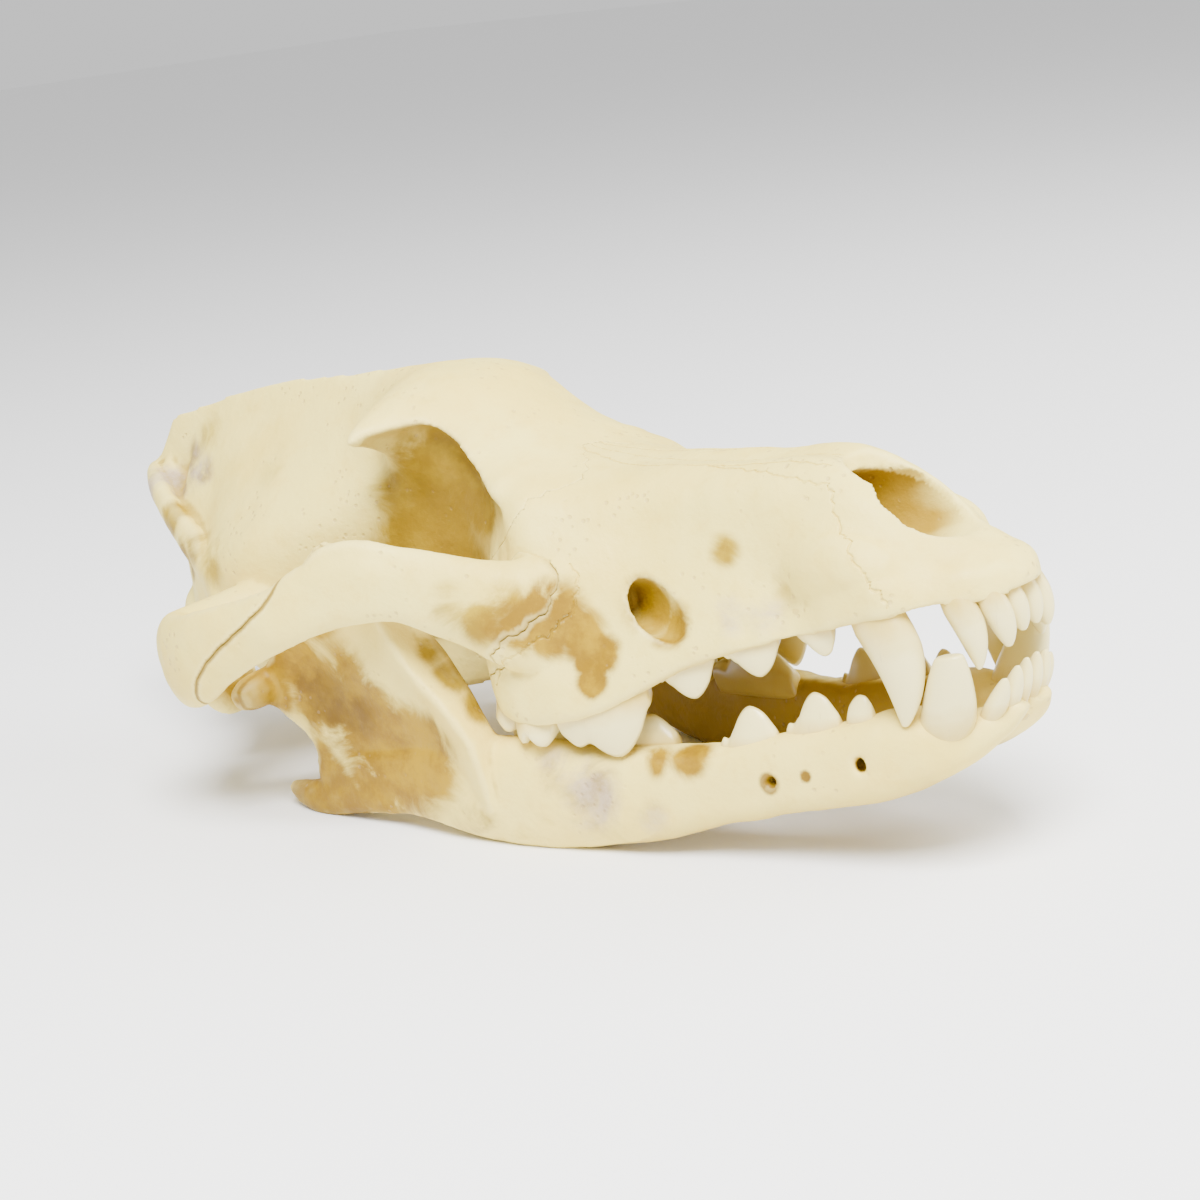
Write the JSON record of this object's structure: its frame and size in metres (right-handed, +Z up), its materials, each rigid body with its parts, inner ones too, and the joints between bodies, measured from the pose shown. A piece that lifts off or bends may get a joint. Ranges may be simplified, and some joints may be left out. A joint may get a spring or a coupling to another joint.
{
  "type": "wolf skull",
  "caption": "Life-size wolf skull with the lower jaw closed, long snout, wide cheek arches, tall crest at the back and full rows of teeth.",
  "frame": {"origin": "centre of the bounding box in plan, at floor level under the resting lower jaw", "axes": "+X forward along the snout, +Y to the animal's left, +Z up from the floor"},
  "size_m": [0.2848, 0.1416, 0.1074],
  "materials": {
    "braincase": "dry cream bone, matt",
    "snout": "dry cream bone, matt, with slightly glossy teeth",
    "zygomatic_arch_right": "dry cream bone, matt",
    "zygomatic_arch_left": "dry cream bone, matt",
    "mandible_right": "honey-stained bone, matt, with slightly glossy teeth",
    "mandible_left": "honey-stained bone, matt, with slightly glossy teeth"
  },
  "bodies": {
    "root": {"braincase": "braincase", "snout": "snout", "zygomatic_arch_right": "zygomatic_arch_right", "zygomatic_arch_left": "zygomatic_arch_left", "mandible_right": "mandible_right", "mandible_left": "mandible_left"}
  },
  "joints": []
}
